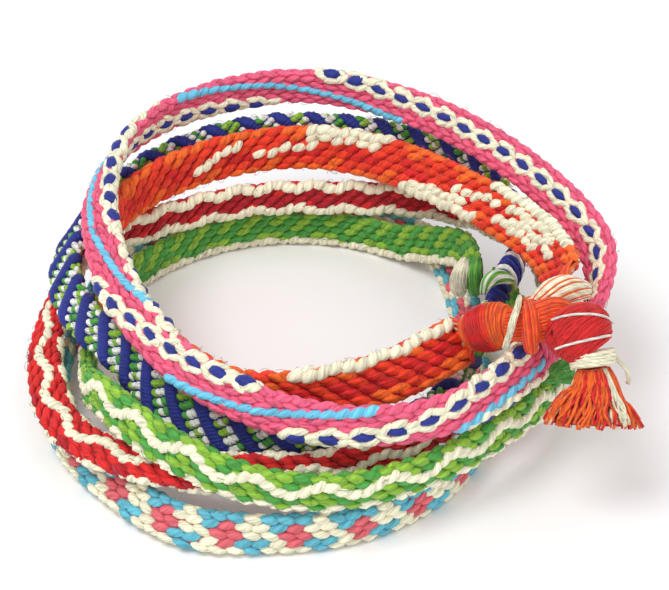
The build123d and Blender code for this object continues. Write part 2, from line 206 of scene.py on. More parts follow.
# The knots and wraps, as in the part's source: x, y, z, half the size across, half the depth.
facing = np.array([0.0, -0.81, 0.59])
lobe = {
    "green_knot_cream_wrap": [
        (18.9, 3.9, 11.9, 0.4, 0.4), (18.4, 2.8, 11.0, 0.8, 0.8), (18.0, 2.3, 9.4, 0.95, 1.1),
        (18.2, 2.6, 7.7, 0.8, 0.9), (18.7, 3.4, 6.6, 0.4, 0.4),
    ],
    "green_knot": [
        (20.6, 4.0, 12.0, 0.5, 0.6), (20.3, 3.1, 11.2, 0.9, 1.3), (20.2, 2.5, 9.5, 1.1, 1.6),
        (20.3, 2.7, 7.8, 1.0, 1.2), (20.6, 3.6, 6.6, 0.5, 0.5),
    ],
    "green_tail": [
        (26.6, -21.0, 11.3, 0.6, 0.5), (28.0, -19.6, 11.2, 1.2, 0.7), (29.4, -18.2, 10.9, 1.9, 0.8),
        (30.4, -17.2, 10.7, 2.3, 0.6),
    ],
    "blue_knot_wrap": [
        (20.4, -6.5, 13.6, 0.4, 0.4), (20.6, -6.0, 14.6, 0.7, 0.6), (21.7, -5.0, 15.2, 1.0, 0.9),
        (23.0, -4.5, 15.0, 0.9, 0.8), (24.2, -4.4, 14.2, 0.5, 0.5),
    ],
    "orange_left_lobe": [
        (17.4, -19.4, 17.2, 2.0, 1.5), (18.5, -20.2, 18.2, 2.8, 2.3), (20.2, -21.2, 19.6, 3.0, 2.6),
        (21.5, -21.8, 20.2, 2.7, 2.2), (22.4, -22.4, 20.5, 1.9, 1.3),
    ],
    "orange_middle_lobe": [
        (24.2, -21.6, 23.0, 0.7, 0.8), (24.1, -23.7, 23.2, 1.0, 1.4), (24.1, -25.1, 22.3, 1.1, 1.6),
        (24.1, -25.8, 20.9, 1.0, 1.4), (24.2, -25.9, 19.6, 0.7, 0.9),
    ],
    "orange_fan": [
        (24.9, -20.2, 22.4, 0.7, 0.6), (26.0, -20.9, 23.7, 1.4, 1.0), (27.6, -20.6, 24.5, 1.7, 1.1),
        (29.6, -19.6, 24.0, 1.6, 1.0), (31.3, -18.4, 22.6, 1.0, 0.7),
    ],
    "orange_barrel": [
        (28.9, -22.2, 21.6, 3.0, 1.6), (29.1, -23.6, 22.0, 3.7, 2.4), (29.4, -25.3, 22.2, 4.0, 3.1),
        (30.2, -26.6, 21.6, 3.7, 3.1), (30.8, -27.1, 20.75, 3.0, 2.6),
    ],
    "orange_cross_strand": [
        (23.2, -20.0, 23.0, 0.3, 0.3), (22.6, -23.2, 23.8, 0.4, 0.4), (21.9, -25.2, 23.2, 0.4, 0.4),
        (21.5, -26.0, 21.6, 0.4, 0.4), (21.1, -26.0, 20.0, 0.3, 0.3),
    ],
}
knotMiddle = {
    "rose": [(21.9, -15.5, 2.95, 2.7, 1.9)],
    "red": [(29.2, -6.2, 10.2, 2.9, 1.8)],
    "blue": [(23.4, -1.6, 11.6, 2.9, 1.5), (25.2, 2.0, 12.3, 2.8, 1.5)],
    "pink": [(29.6, -18.0, 15.9, 2.5, 1.7)],
}
looseEnd = [
    (34.3, -27.9, 19.4), (34.9, -28.4, 18.9), (35.2, -28.7, 18.2), (35.3, -28.8, 17.6), (35.2, -28.9, 17.1),
]
tassel = [
    (31.45, -29.35, 17.5, 2.5, 2.0), (31.35, -29.75, 16.8, 2.8, 2.2), (31.1, -30.5, 15.8, 4.3, 2.7),
    (31.0, -31.9, 13.6, 5.6, 3.0),
]

rng = np.random.default_rng(look["seed"])


def toRow(points):
    # points of the routes, in mm, as places in the row frame, in metres
    return (np.asarray(points, float) - rowOrigin) * mm


print("camera")
aim = toRow(look["aim"])
tilt = math.radians(look["elevation"])
camera = bpy.data.cameras.new("camera")
camera.lens = look["lens"]
camera.sensor_width = look["sensor"]
camera.shift_x, camera.shift_y = look["shift"]
camera.clip_start = 0.01
cameraObject = bpy.data.objects.new("camera", camera)
bpy.context.collection.objects.link(cameraObject)
cameraObject.location = aim + look["distance"] * mm * np.array([0, -math.cos(tilt), math.sin(tilt)])
cameraObject.rotation_euler = (math.pi / 2 - tilt, 0, 0)
bpy.context.scene.camera = cameraObject


def splineLine(points):
    # a NURBS line with these control points, read back as the points along it
    curve = bpy.data.curves.new("line", "CURVE")
    curve.dimensions = "3D"
    curve.resolution_u = 12
    spline = curve.splines.new("NURBS")
    spline.points.add(len(points) - 1)
    for point, place in zip(spline.points, points):
        point.co = (*place, 1)
    spline.order_u = 3
    spline.use_endpoint_u = True
    holder = bpy.data.objects.new("line", curve)
    mesh = bpy.data.meshes.new_from_object(holder)
    line = np.array([v.co for v in mesh.vertices])
    bpy.data.objects.remove(holder)
    bpy.data.meshes.remove(mesh)
    bpy.data.curves.remove(curve)
    return line


def unit(v):
    return v / np.maximum(np.linalg.norm(v, axis=-1, keepdims=True), 1e-12)


class Line:
    # the middle line of a band or a wrap, in mm, with its own directions at every place on it
    def __init__(self, points, lean=None, view=False):
        points = np.asarray(points, float)
        self.points = splineLine(points[:, :3])
        steps = np.linalg.norm(np.diff(self.points, axis=0), axis=1)
        self.at = np.concatenate([[0], np.cumsum(steps)])
        self.length = self.at[-1]
        along = unit(np.gradient(self.points, self.at, axis=0))
        if view:  # across as the front shows it
            face = unit(facing - (along @ facing)[:, None] * along)
            across = np.cross(along, face)
        else:
            out = unit(np.stack([along[:, 1], -along[:, 0], 0 * along[:, 0]], 1))
            up = np.cross(out, along)
            up *= np.sign(up[:, 2:3])
            turn = np.zeros(len(along))
            if lean is not None:
                turn = np.radians(splineLine([(a, 0, 0) for a in lean])[:, 0])
            across = np.cos(turn)[:, None] * up + np.sin(turn)[:, None] * out
            face = np.cos(turn)[:, None] * out - np.sin(turn)[:, None] * up
        self.along, self.across, self.face = along, across, face

    def read(self, values, s):
        return np.stack([np.interp(s, self.at, values[:, k]) for k in range(3)], -1)

    def place(self, s, v, w):
        s, v, w = np.broadcast_arrays(s, v, w)
        place = self.read(self.points, s)
        place = place + (s - np.clip(s, 0, self.length))[..., None] * self.read(self.along, s)
        place = place + v[..., None] * self.read(self.across, s)
        return place + w[..., None] * self.read(self.face, s)


# a direction that no yarn runs along, from which each tube takes its sides
tubeGuide = np.array([0.31, 0.17, 0.93])


class Cloth:
    # gathers the yarns of one piece and makes its mesh
    def __init__(self):
        self.points, self.faces, self.uv, self.colour, self.tint = [], [], [], [], []
        self.count = 0

    def grid(self, points, uv, yarns, tint=None):
        # points: rings of a tube (rings, sides, 3); yarns: one name, or one for each step along it
        rings, sides = points.shape[:2]
        base = self.count
        shade = rng.random() if tint is None else tint
        i, j = np.meshgrid(np.arange(rings - 1), np.arange(sides), indexing="ij")
        k = (j + 1) % sides
        quads = np.stack([i * sides + j, i * sides + k, (i + 1) * sides + k, (i + 1) * sides + j], -1)
        quads = quads.reshape(-1, 4)
        corner = np.stack([
            np.stack([uv[0][i], uv[1][j]], -1), np.stack([uv[0][i], uv[1][j + 1]], -1),
            np.stack([uv[0][i + 1], uv[1][j + 1]], -1), np.stack([uv[0][i + 1], uv[1][j]], -1),
        ], 2).reshape(-1, 4, 2)
        self.points.append(points.reshape(-1, 3))
        self.tint.append(np.full(rings * sides, shade))
        self.faces.extend((quads + base).tolist())
        self.uv.extend(corner.reshape(-1, 2).tolist())
        names = [yarns] * (rings - 1) if isinstance(yarns, str) else yarns
        self.colour.extend([names[a] for a in np.repeat(np.arange(rings - 1), sides)])
        for ring, order in ((0, -1), (rings - 1, 1)):
            loop = [base + ring * sides + a for a in range(sides)][::order]
            self.faces.append(loop)
            self.uv.extend([(uv[0][ring], 0.5)] * sides)
            self.colour.append(names[0 if ring == 0 else -1])
        self.count += rings * sides

    def tube(self, path, radius, yarns, sides=6):
        # a yarn along points in mm
        path = np.asarray(path, float)
        along = unit(np.gradient(path, axis=0))
        guide = np.broadcast_to(tubeGuide, path.shape)
        side = unit(np.cross(along, guide))
        top = np.cross(side, along)
        turn = np.arange(sides) / sides * 2 * math.pi
        size = np.broadcast_to(radius, len(path))[:, None, None]
        sideways = np.cos(turn)[None, :, None] * side[:, None]
        ring = size * (sideways + np.sin(turn)[None, :, None] * top[:, None])
        steps = np.concatenate([[0], np.cumsum(np.linalg.norm(np.diff(path, axis=0), axis=1))])
        self.grid(path[:, None] + ring, (steps, np.linspace(0, 1, sides + 1)), yarns)

    def piece(self, name, body, slot, nodes):
        mesh = bpy.data.meshes.new(name)
        mesh.from_pydata(toRow(np.concatenate(self.points)).tolist(), [], self.faces)
        used = sorted(set(self.colour))
        for colour in used:
            mesh.materials.append(yarnMaterial[colour])
        index = {colour: i for i, colour in enumerate(used)}
        mesh.polygons.foreach_set("material_index", [index[c] for c in self.colour])
        mesh.polygons.foreach_set("use_smooth", [True] * len(mesh.polygons))
        mesh.uv_layers.new(name="yarn").data.foreach_set("uv", np.asarray(self.uv, np.float32).ravel())
        shade = mesh.attributes.new("shade", "FLOAT", "POINT")
        shade.data.foreach_set("value", np.concatenate(self.tint).astype(np.float32))
        mesh.update()
        made = bpy.data.objects.new(name, mesh)
        bpy.context.collection.objects.link(made)
        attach(made, body)
        if nodes:
            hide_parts(*nodes)
        print(" ", name, len(mesh.polygons), "faces")
        return made


print("yarn materials")


def twistedYarnGroup():
    # the plies and fibres of a yarn, read along it: a bump, and a colour that darkens where the bump lies
    # low, painted shade in the ply grooves over the fibres' own streaks of tone
    group = bpy.data.node_groups.new("twistedYarn", "ShaderNodeTree")
    group.interface.new_socket("Colour", in_out="INPUT", socket_type="NodeSocketColor")
    group.interface.new_socket("Twist", in_out="INPUT", socket_type="NodeSocketFloat")
    group.interface.new_socket("Depth", in_out="INPUT", socket_type="NodeSocketFloat")
    group.interface.new_socket("Colour", in_out="OUTPUT", socket_type="NodeSocketColor")
    group.interface.new_socket("Normal", in_out="OUTPUT", socket_type="NodeSocketVector")
    nodes, links = group.nodes, group.links

    def calc(operation, a, b=None):
        node = nodes.new("ShaderNodeMath")
        node.operation = operation
        for socket, value in zip(node.inputs, (a, b)):
            if value is None:
                continue
            if isinstance(value, (int, float)):
                socket.default_value = value
            else:
                links.new(value, socket)
        return node.outputs[0]

    given = nodes.new("NodeGroupInput")
    result = nodes.new("NodeGroupOutput")
    yarnMap = nodes.new("ShaderNodeUVMap")
    yarnMap.uv_map = "yarn"
    split = nodes.new("ShaderNodeSeparateXYZ")
    links.new(yarnMap.outputs[0], split.inputs[0])
    shade = nodes.new("ShaderNodeAttribute")
    shade.attribute_name = "shade"
    alongYarn = calc("MULTIPLY", split.outputs[0], given.outputs["Twist"])
    ply = calc("ADD", calc("MULTIPLY", split.outputs[1], 3.0), alongYarn)
    wave = calc("MULTIPLY_ADD", calc("SINE", calc("MULTIPLY", ply, 2 * math.pi)), 0.5)
    wave.node.inputs[2].default_value = 0.5
    strand = nodes.new("ShaderNodeCombineXYZ")
    links.new(calc("MULTIPLY", split.outputs[0], 0.55), strand.inputs[0])
    links.new(calc("MULTIPLY", ply, 2.6), strand.inputs[1])
    links.new(calc("MULTIPLY", shade.outputs["Fac"], 60.0), strand.inputs[2])
    fibre = nodes.new("ShaderNodeTexNoise")
    fibre.inputs["Scale"].default_value = 1.6
    fibre.inputs["Detail"].default_value = 3
    links.new(strand.outputs[0], fibre.inputs["Vector"])
    height = calc("ADD", calc("MULTIPLY", wave, 0.55), calc("MULTIPLY", fibre.outputs["Fac"], 0.9))
    bump = nodes.new("ShaderNodeBump")
    bump.inputs["Strength"].default_value = 0.9
    links.new(calc("MULTIPLY", given.outputs["Depth"], mm), bump.inputs["Distance"])
    links.new(height, bump.inputs["Height"])
    links.new(bump.outputs[0], result.inputs["Normal"])
    # painted shade: the colour falls where the ply wave and the fibres lie low, over the fibres' own tone;
    # shade adds each piece's random tone
    level = calc("ADD", calc("MULTIPLY", wave, 0.16), calc("MULTIPLY", fibre.outputs["Fac"], 1.35))
    level = calc("ADD", level, calc("MULTIPLY", shade.outputs["Fac"], 0.16))
    lit = nodes.new("ShaderNodeVectorMath")
    lit.operation = "SCALE"
    links.new(given.outputs["Colour"], lit.inputs[0])
    links.new(calc("ADD", level, 0.20), lit.inputs["Scale"])
    links.new(lit.outputs[0], result.inputs["Colour"])
    return group


yarnTwist = twistedYarnGroup()


yarnFinish = {
    "twist": 0.55,
    "woundTwist": 3.1,
    "relief": 0.16,
    "roughness": 0.62,
    "specular": 0.35,
    "sheen": 0.12,
    "sheenRoughness": 0.4,
}


def makeYarn(name, colour, turns):
    material = bpy.data.materials.new(name + "Yarn")
    material.use_nodes = True
    tree = material.node_tree
    shader = tree.nodes["Principled BSDF"]
    twist = tree.nodes.new("ShaderNodeGroup")
    twist.node_tree = yarnTwist
    twist.inputs["Colour"].default_value = (*colour, 1)
    twist.inputs["Twist"].default_value = turns
    twist.inputs["Depth"].default_value = yarnFinish["relief"]
    tree.links.new(twist.outputs["Colour"], shader.inputs["Base Color"])
    tree.links.new(twist.outputs["Normal"], shader.inputs["Normal"])
    shader.inputs["Roughness"].default_value = yarnFinish["roughness"]
    shader.inputs["Specular IOR Level"].default_value = yarnFinish["specular"]
    shader.inputs["Sheen Weight"].default_value = yarnFinish["sheen"]
    shader.inputs["Sheen Roughness"].default_value = yarnFinish["sheenRoughness"]
    material.diffuse_color = (*colour, 1)
    return material


yarnMaterial = {name: makeYarn(name, colour, yarnFinish["twist"]) for name, colour in yarnColour.items()}
yarnMaterial["navyWound"] = makeYarn("navyWound", yarnColour["navy"], yarnFinish["woundTwist"])


class Strip:
    # the rounded cross-section of a band: q runs round it from the middle of the outer face
    def __init__(self, line, width, yarnHeight):
        self.line = line
        self.edge = 0.55
        self.flat = width / 2 - yarnHeight - self.edge
        self.round = 4 * self.flat + 2 * math.pi * self.edge

    def place(self, s, q, h):
        s, q, h = np.broadcast_arrays(np.asarray(s, float), np.asarray(q, float), np.asarray(h, float))
        half = self.round / 2
        q = (q + half) % self.round - half
        side = np.sign(q) + (q == 0)
        a = np.abs(q)
        arc = math.pi * self.edge
        onEdge = np.clip((a - self.flat) / self.edge, 0, math.pi)
        v = np.where(a < self.flat, a, np.where(a < self.flat + arc, self.flat, 2 * self.flat + arc - a))
        r = self.edge + h
        return self.line.place(s, side * (v + r * np.sin(onEdge)), r * np.cos(onEdge))


stitchForm = {"rings": 6, "sides": 7, "plump": 2.3, "dip": 0.5, "dipPower": 2.2}


def stitch(cloth, strip, s, q, length, width, height, slant, yarnName, lift=0.0):
    # a plump oval of yarn whose ends dip under its neighbours
    rings, sides = stitchForm["rings"], stitchForm["sides"]
    x = np.cos(np.linspace(math.pi, 0, rings + 1)) * 0.985
    x = (x[:-1] + x[1:]) / 2
    x = np.concatenate([[-0.995], x, [0.995]])
    size = np.power(np.maximum(1 - np.abs(x) ** stitchForm["plump"], 0.0004), 0.5)
    turn = np.arange(sides) / sides * 2 * math.pi
    a = (x * length)[:, None] + 0 * turn
    b = size[:, None] * np.cos(turn) * width
    dip = (stitchForm["dip"] * np.abs(x) ** stitchForm["dipPower"])[:, None]
    c = size[:, None] * np.sin(turn) * height - dip * height
    lean = math.radians(slant)
    ds = a * math.cos(lean) - b * math.sin(lean)
    dq = a * math.sin(lean) + b * math.cos(lean)
    points = strip.place(s + ds, q + dq, c + lift)
    uv = ((x + 1) * length, np.linspace(0, 1, sides + 1))
    cloth.grid(points, uv, yarnName)


def core(cloth, strip, colour, lift=-0.12):
    # the filling that shows between the stitches, mostly in a darker yarn than they are and at the darkest
    # tone: painted shade in the gaps
    s = np.linspace(0, strip.line.length, int(strip.line.length / 1.2))
    q = np.linspace(0, strip.round, 25)[:-1]
    points = strip.place(s[:, None], q[None, :], lift)
    cloth.grid(points, (s, np.linspace(0, 1, 25)), colour, tint=0.0)


def fuzz(cloth, strip, count, yarnName):
    # single fibres that stand out from the yarns
    t = np.array([0, 0.35, 0.7, 1.0])
    for k in range(count):
        s = rng.uniform(0.5, strip.line.length - 0.5) + t * rng.normal(0, 0.9)
        q = rng.uniform(0, strip.round) + t * rng.normal(0, 0.6)
        h = 0.34 + rng.uniform(0.12, 0.42) * np.sin(t * math.pi * rng.uniform(0.5, 0.95))
        cloth.tube(strip.place(s, q, h), 0.03, yarnName, sides=3)


def rowPlace(facts, face, gap, row):
    # how far round the band a row lies, its number counted down from the top edge
    down = (facts["rows"] - 1) / 2 - row
    return down * gap if face == "outer" else facts["rows"] * gap - down * gap


def layCord(cloth, strip, start, end, path, yarnName, width, height, step=1.5, slant=22, lift=0.24):
    # a raised line of overlapping stitches, evenly spaced along it; path gives the place round
    # the band, and the lift stands it on the stitches below
    fine = np.linspace(start, end, 200)
    sideways = np.array([path(s) for s in fine])
    run = np.concatenate([[0], np.cumsum(np.hypot(np.diff(fine), np.diff(sideways)))])
    count = max(2, round(run[-1] / step))
    for s in np.interp(np.linspace(0, run[-1], count), run, fine):
        lean = math.degrees(math.atan2(path(s + 0.3) - path(s - 0.3), 0.6))
        stitch(cloth, strip, s, path(s), 0.80 * step, width, height, lean + slant, yarnName, lift)


def ground(cloth, strip, facts, gap, yarnHeight, length, alternate):
    rows = facts["rows"]
    columns = int(length / facts["pitch"])
    pitch = length / columns
    for j in range(2 * rows):
        q = (j - (rows - 1) / 2) * gap
        face = "outer" if j < rows else "inner"
        lines = facts[face]
        text = lines[rows - 1 - j if j < rows else j - rows]
        slant = facts["slant"] * (-1 if face == "inner" else 1)
        if alternate:
            slant = facts["slant"] * (1 if j % 2 else -1)
        for column in range(columns):
            s = (column + 0.25 + 0.5 * (j % 2)) * pitch
            stitch(
                cloth, strip, s + rng.normal(0, 0.06), q + rng.normal(0, 0.04), 0.62 * pitch,
                0.57 * gap, yarnHeight * rng.uniform(0.88, 1.14), slant + rng.normal(0, 4),
                letterYarn[text[column % len(text)]],
            )


def stretches(values, least, most):
    # the stretches of a list in which its values stay between two limits
    inside = np.concatenate([[False], (values >= least) & (values <= most), [False]])
    edges = np.flatnonzero(inside[1:] != inside[:-1])
    return [(a, b - 1) for a, b in zip(edges[::2], edges[1::2]) if b - a > 3]


chainCord = {"width": 0.50, "height": 0.46, "step": 1.6}
skyCord = {"width": 0.50, "height": 0.44, "step": 1.6, "slant": 12, "lift": 0.20}
lozenge = {"length": 1.5, "width": 0.55, "height": 0.52, "lift": 0.32}


def chains(cloth, strip, facts, gap, length):
    # navy lozenges held between two cream cords that cross, with a sky blue cord half way between
    pitch = facts["chainPitch"]
    along = np.arange(1, length - 1, 0.5)
    for face, climb in facts["chains"].items():
        places, rows = zip(*climb)
        for k in range(-1, 4):
            offset = k * facts["chainGap"]

            def middle(s, more=0.0):
                up = np.interp(s / length, places, rows) - offset + more
                return rowPlace(facts, face, gap, facts["rows"] - 1 - up)

            row = np.interp(along / length, places, rows) - offset
            for a, b in stretches(row, -0.4, facts["rows"] - 0.6):
                for side in (-1, 1):

                    def swing(s, side=side):
                        wide = 0.35 + abs(math.sin(math.pi * s / pitch))
                        return middle(s) + side * gap * facts["chainSwing"] * wide

                    layCord(
                        cloth, strip, along[a], along[b], swing, "cream", slant=side * 10, **chainCord)
                first = math.ceil(along[a] / pitch - 0.5) + 0.5
                for s in np.arange(first * pitch, along[b], pitch):
                    stitch(
                        cloth, strip, s, middle(s), slant=rng.normal(0, 7), yarnName="navy", **lozenge)
            for a, b in stretches(row + facts["chainGap"] / 2, 0.0, facts["rows"] - 1.0):
                layCord(
                    cloth, strip, along[a], along[b], lambda s: middle(s, facts["chainGap"] / 2), "skyBlue",
                    **skyCord,
                )


cord = {"width": 0.66, "height": 0.52}
yarnHeight = 0.42


def braid(name, line):
    facts = band[name]
    strip = Strip(line, facts["width"], yarnHeight)
    gap = strip.round / (2 * facts["rows"])
    cloth = Cloth()
    core(cloth, strip, facts["core"])
    ground(cloth, strip, facts, gap, yarnHeight, line.length, name in ("rose", "pink"))
    for face, yarnName, start, end, first, last, swing, wave in facts.get("cords", ()):
        start, end = start * line.length + 0.8, end * line.length - 0.8

        def path(s):
            share = (s - start) / (end - start)
            row = first + (last - first) * share + swing * math.sin(2 * math.pi * s / wave)
            return rowPlace(facts, face, gap, row)

        layCord(cloth, strip, start, end, path, yarnName, **cord)
    fuzz(cloth, strip, facts.get("fuzz", 0), "orange" if name == "orange" else facts["core"])
    if "chains" in facts:
        chains(cloth, strip, facts, gap, line.length)
    return cloth


def ribbedBraid(name, line):
    # fat navy ridges coiled round the band with small stitches between them
    facts = band[name]
    strip = Strip(line, facts["width"], 0.45)
    cloth = Cloth()
    core(cloth, strip, facts["core"])
    advance = strip.round * facts["slope"]
    sides = 10
    turn = np.arange(sides) / sides * 2 * math.pi

    def ring(s, coil):
        return -(s / advance + coil / facts["coils"]) * strip.round

    for coil in range(facts["coils"]):
        s = np.arange(0.2, line.length - 0.2, 0.3)
        across = np.cos(turn)[None, :] * facts["ridgeWidth"] / 2
        ds = across * math.sqrt(0.5)
        rib = 1 + 0.06 * np.sin(s * 11 + 2 * np.sin(s))[:, None]
        h = np.sin(turn)[None, :] * facts["ridgeHeight"] * rib
        points = strip.place(s[:, None] + ds, ring(s, coil)[:, None] + ds, h)
        cloth.grid(points, (s, np.linspace(0, 1, sides + 1)), "navyWound")
        for lane in range(3):
            step = facts["littleStitch"]
            share = coil + 0.5 + (lane - 1) * 0.17
            for k, at in enumerate(np.arange(0.6 + 0.4 * lane, line.length - 0.6, step * 0.72)):
                yarnName = facts["between"][(k + lane + int(rng.integers(2))) % len(facts["between"])]
                lean = rng.normal(0, 12)
                stitch(cloth, strip, at, ring(at, share), 0.56 * step, 0.42, 0.44, lean, yarnName)
    fuzz(cloth, strip, facts["fuzz"], "navy")
    return cloth


print("bands")
bandLine = {}
for name, points in route.items():
    points = np.array(points, float)
    line = Line(points, lean=points[:, 3])
    cloth = ribbedBraid(name, line) if name == "blue" else braid(name, line)
    made = cloth.piece(name + "_braid", name, name + "_yarn", [name + "_band"])
    tuple(toRow(points[0, :3]))
    toRow(line.points).tolist()
    bandLine[name] = line


def sizes(line, points):
    # how the half sizes of a wrap change along its line
    widths = splineLine([(p[-2], p[-1], 0) for p in points])
    return lambda s: (np.interp(s, line.at, widths[:, 0]), np.interp(s, line.at, widths[:, 1]))


def around(line, size, s, turn, shrink=0.0):
    across, deep = size(s)
    return line.place(s, (across - shrink) * np.cos(turn), (deep - shrink) * np.sin(turn))


# a sleeve under the threads of a wrap, at the darkest tone: painted shade in the gaps between them
def filling(cloth, line, size, colour, shrink):
    s = np.linspace(0, line.length, 14)
    turn = np.linspace(0, 2 * math.pi, 17)[:-1]
    points = around(line, size, s[:, None] + 0 * turn, turn[None, :] + 0 * s[:, None], shrink)
    cloth.grid(points, (s, np.linspace(0, 1, 17)), colour, tint=0.0)


def wound(points, turns, thread, colours, view=True):
    # one thread wound closely along a wrap; colours give the share of its length and the yarn
    line = Line(points, view=view)
    size = sizes(line, points)
    cloth = Cloth()
    filling(cloth, line, size, colours[0][1], thread)
    steps = turns * 20
    t = np.linspace(0, 1, steps + 1)
    path = around(line, size, t * line.length, t * turns * 2 * math.pi, thread * 0.6)
    names = []
    for a in t[:-1]:
        share = 0.0
        for part, colour in colours:
            share += part
            if a <= share + 1e-6:
                break
        names.append(colour)
    cloth.tube(path, thread, names)
    return cloth


def gathered(points, strands, thread, colours, twist, fray=0.0):
    # strands laid along a wrap, side by side round it
    line = Line(points, view=True)
    size = sizes(line, points)
    cloth = Cloth()
    filling(cloth, line, size, colours[0], thread)
    t = np.linspace(0, 1, 15)
    for k in range(strands):
        turn = 2 * math.pi * (k + rng.uniform(-0.25, 0.25)) / strands + twist * 2 * math.pi * t
        sink = thread * (0.55 + 0.5 * rng.random())
        path = around(line, size, t * line.length, turn, sink)
        path = path + fray * rng.normal(0, 1, 3) * t[:, None] ** 2
        cloth.tube(path, thread * rng.uniform(0.85, 1.15), colours[k % len(colours)])
    return cloth


def yarnAt(colours, share):
    # the yarn of a stretch; colours give where each ends, and which yarn
    return next((yarn for end, yarn in colours if share <= end), colours[-1][1])


def wrapped(points, threads, thread, colours, tilt, loose):
    # threads side by side round a wrap, each a closed hoop
    line = Line(points, view=True)
    size = sizes(line, points)
    cloth = Cloth()
    filling(cloth, line, size, yarnAt(colours, 0.5), thread)
    turn = np.linspace(0, 2 * math.pi, 33)
    for k in range(threads):
        share = (k + 0.5) / threads
        s = share * line.length + tilt * np.cos(turn + rng.normal(0, 0.15)) + rng.normal(0, thread * 0.5)
        sink = thread * (0.7 + 0.7 * rng.random()) + loose * rng.random()
        path = around(line, size, np.clip(s, 0, line.length), turn, sink)
        cloth.tube(path, thread * rng.uniform(0.8, 1.2), yarnAt(colours, share), sides=5)
    return cloth, line, size


def arc(cloth, line, size, start, end, first, last, thread, yarnName, lift=0.1):
    # one thread laid over a wrap, from one place along it and turn round it to another
    t = np.linspace(0, 1, 22)
    s = (start + (end - start) * t) * line.length
    turn = np.radians(first + (last - first) * t)
    cloth.tube(around(line, size, s, turn, -lift), thread, yarnName)


def drawnIn(start, across, face, half, middle, end, endSpan, spread, count, thread, colours):
    # the yarns of a band that draw together into its knot
    cloth = Cloth()
    t = np.linspace(0, 1, 12)[:, None]
    for k in range(count):
        v = (k + 0.5) / count * 2 - 1 + rng.normal(0, 0.03)
        first = np.array(start) + v * half * across + rng.choice((-0.3, 0.5)) * face
        last = np.array(end) + v * np.array(endSpan) + spread * rng.normal(0, 1, 3)
        bend = np.array(middle) + 0.6 * v * half * across + 0.15 * rng.normal(0, 1, 3)
        path = (1 - t) ** 2 * first + 2 * t * (1 - t) * bend + t ** 2 * last
        radius = thread * rng.uniform(0.8, 1.25)
        cloth.tube(path, radius, colours[int(rng.integers(len(colours)))])
    return cloth


print("knots")
tie = {"turns": 14, "thread": 0.36}
tieColours = {
    "blue": [
        (0.30, "navy"), (0.10, "lime"), (0.06, "white"), (0.14, "navy"), (0.08, "white"), (1, "navy"),
    ],
    "pink": [(0.3, "pink"), (0.2, "cream"), (1, "pink")],
}
for name, middle in knotMiddle.items():
    first, second = np.array(route[name][0][:3]), np.array(route[name][1][:3])
    last, before = np.array(route[name][-1][:3]), np.array(route[name][-2][:3])
    half = band[name]["width"] / 2
    leave = last + 1.2 * unit(last - before)
    arrive = first - 1.2 * unit(second - first)
    points = [(*last, half - 0.3, 0.8), (*leave, half - 0.2, 0.9), *middle, (*arrive, half - 0.2, 0.9),
              (*first, half - 0.3, 0.8)]
    colours = tieColours.get(name, [(1, band[name]["core"])])
    cloth = wound(points, colours=colours, view=False, **tie)
    cloth.piece(name + "_tie", name, name + "_yarn", [name + "_knot"])

greenCreamWrap = {"strands": 26, "thread": 0.17, "colours": ["cream"], "twist": 0.12}
wide = [(*p[:3], 1.35 * p[3], 1.1 * p[4]) for p in lobe["green_knot_cream_wrap"]]
cloth = gathered(wide, **greenCreamWrap)
cloth.piece("green_cream_wrap", "green", "cream_yarn", ["green_knot_cream_wrap"])

greenWrap = {
    "strands": 26, "thread": 0.16, "colours": ["emerald", "lime", "emerald", "emerald"], "twist": 0.12,
}
cloth = gathered(lobe["green_knot"], **greenWrap)
cloth.piece("green_wrap", "green", "green_yarn", ["green_knot"])

greenEnds = {
    "strands": 60, "thread": 0.12, "colours": ["emerald", "lime", "emerald"], "twist": 0.05, "fray": 0.35,
}
cloth = gathered(lobe["green_tail"], **greenEnds)
cloth.piece("green_ends", "green", "green_yarn", ["green_tail"])

blueWrap = {
    "strands": 20, "thread": 0.15, "colours": ["white", "white", "lime", "emerald"], "twist": 0.35,
}
cloth = gathered(lobe["blue_knot_wrap"], **blueWrap)
cloth.piece("blue_wrap", "blue", "cream_yarn", ["blue_knot_wrap"])

leftLobe = {
    "threads": 46, "thread": 0.14, "tilt": 0.25, "loose": 0.0,
    "colours": [(0.14, "orange"), (0.22, "scarlet"), (0.56, "red"), (0.66, "scarlet"), (1, "orange")],
}
cloth, line, size = wrapped(lobe["orange_left_lobe"], **leftLobe)
cloth.piece("left_lobe_wrap", "orange", "orange_yarn", ["orange_left_lobe"])

middleLobe = {
    "strands": 30, "thread": 0.17, "colours": ["orange", "scarlet", "orange", "scarlet", "red"],
    "twist": 0.15,
}
cloth = gathered(lobe["orange_middle_lobe"], **middleLobe)
cloth.piece("middle_lobe_wrap", "orange", "orange_yarn", ["orange_middle_lobe"])

fan = {
    "strands": 34, "thread": 0.19, "colours": ["cream", "orange", "cream", "cream", "cream", "orange"],
    "twist": 0.3,
}
cloth = gathered(lobe["orange_fan"], **fan)
cloth.piece("fan_wrap", "orange", "orange_yarn", ["orange_fan"])

barrel = {
    "threads": 62, "thread": 0.13, "tilt": 0.35, "loose": 0.0,
    "colours": [(0.24, "orange"), (0.38, "scarlet"), (1, "red")],
}
paleArcs = [
    {"start": 0.44, "end": 0.80, "first": 52, "last": 178, "thread": 0.15, "yarnName": "white"},
    {"start": 0.70, "end": 0.94, "first": 25, "last": 140, "thread": 0.15, "yarnName": "white"},
]
cloth, line, size = wrapped(lobe["orange_barrel"], **barrel)
for facts in paleArcs:
    arc(cloth, line, size, **facts)
cloth.piece("barrel_wrap", "orange", "orange_yarn", ["orange_barrel"])

crossThread = {"strands": 7, "thread": 0.13, "colours": ["cream"], "twist": 0.8}
cloth = gathered(lobe["orange_cross_strand"], **crossThread)
cloth.piece("cross_thread", "orange", "cream_yarn", ["orange_cross_strand"])

